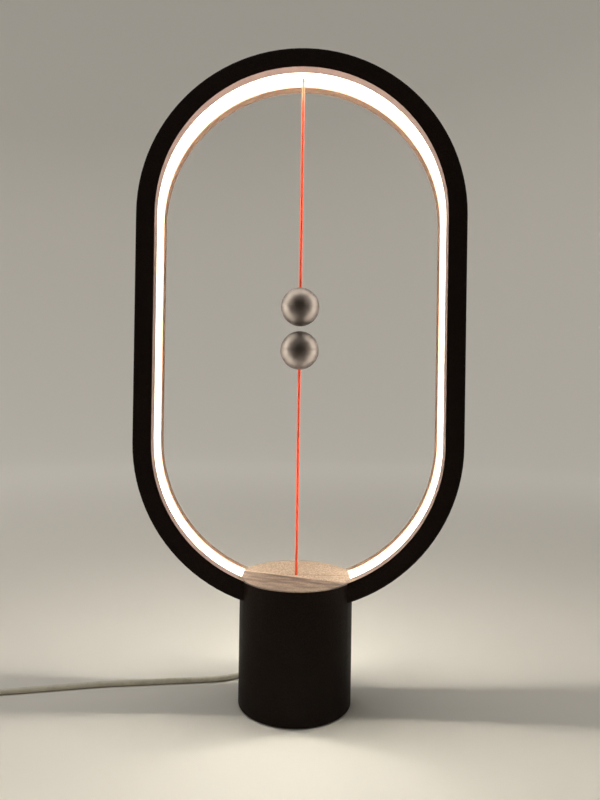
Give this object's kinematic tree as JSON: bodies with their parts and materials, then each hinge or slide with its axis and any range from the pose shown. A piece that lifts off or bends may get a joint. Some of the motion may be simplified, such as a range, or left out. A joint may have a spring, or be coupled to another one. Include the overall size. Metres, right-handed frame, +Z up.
{
  "type": "magnetic balance lamp",
  "caption": "Table lamp: an upright stadium ring lit inside, on a round base, switched by lifting a magnetic ball on a cord to the ball that hangs above it.",
  "frame": {"origin": "centre of the foot pad's underside, on the table", "axes": "+Z up along the ring's height, +X along the ring's width, +Y through the ring away from its front, towards the cable"},
  "size_m": [0.392, 0.1224, 0.4],
  "materials": {
    "casing": "very dark warm brown, fine spark texture",
    "diffuser": "milky white, lit from behind",
    "led_tape": "white flexible circuit",
    "led_chip": "yellow phosphor",
    "wire": "thin insulated wire",
    "base_plate": "moulded",
    "foot_pad": "foam pad",
    "steel": "zinc plated",
    "ballast": "turned steel",
    "white_plastic": "moulded",
    "black_plastic": "moulded",
    "red_plastic": "moulded",
    "circuit_board": "green solder mask",
    "capacitor": "ceramic",
    "cable": "satin cream jacket",
    "plug_metal": "bright nickel",
    "cord": "braided orange-red cord",
    "ball": "very dark warm brown, fine spark texture",
    "magnet": "nickel plated"
  },
  "bodies": {
    "lamp": {"front_casing": "casing", "rear_casing": "casing", "diffuser": "diffuser", "led_strip": "led_tape", "led_chips": "led_chip", "led_leads": "wire", "bottom_plate": "base_plate", "foot_pad": "foot_pad", "base_screws": "steel", "ballast_weight": "ballast", "switch_frame": "white_plastic", "frame_screws": "steel", "micro_switch": "black_plastic", "driver_board": "circuit_board", "board_screw": "steel", "driver_chip": "black_plastic", "inductor": "black_plastic", "capacitors": "capacitor", "inner_lead": "cable", "cable_gland": "cable", "usb_cable": "cable", "cable_coil": "cable", "plug_relief": "cable", "plug_body": "cable", "plug_shell": "plug_metal", "plug_tongue": "white_plastic", "string_anchor": "white_plastic", "anchor_knot": "cord", "switch_spring": "steel"},
    "upper_bend": {"upper_string_bend": "cord"},
    "upper_ball": {"upper_string": "cord", "upper_ball_top": "ball", "upper_ball_bottom": "ball", "upper_magnet": "magnet", "upper_ball_knot": "cord"},
    "slider": {"switch_slider": "white_plastic", "slider_knot": "cord", "lower_string": "cord"},
    "button": {"switch_button": "red_plastic"},
    "lower_ball": {"lower_ball_top": "ball", "lower_ball_bottom": "ball", "lower_magnet": "magnet", "lower_ball_knot": "cord"}
  },
  "joints": [
    {"name": "upper_swing_fore_aft", "type": "hinge", "parent": "lamp", "child": "upper_bend", "pos_m": [0, 0, 0.3879], "axis": [1, 0, 0], "range_deg": [-60, 60]},
    {"name": "upper_swing_side", "type": "hinge", "parent": "upper_bend", "child": "upper_ball", "pos_m": [0, 0, 0.3879], "axis": [0, 1, 0], "range_deg": [-30, 30]},
    {"name": "slider_travel", "type": "slide", "parent": "lamp", "child": "slider", "axis": [0, 0, 1], "range_m": [-0.005, 0], "stiffness_N_per_m": 50, "springref_m": -0.009, "deforming": ["switch_spring"]},
    {"name": "ball_drop", "type": "slide", "parent": "slider", "child": "lower_ball", "axis": [0, 0, 1], "range_m": [-0.123, 0], "deforming": ["lower_string"]},
    {"name": "button_travel", "type": "slide", "parent": "lamp", "child": "button", "axis": [1, 0, 0], "range_m": [-0.001, 0]}
  ],
  "couplings": [
    {"joint": "button_travel", "follows": "slider_travel", "ratio": 0.2}
  ]
}
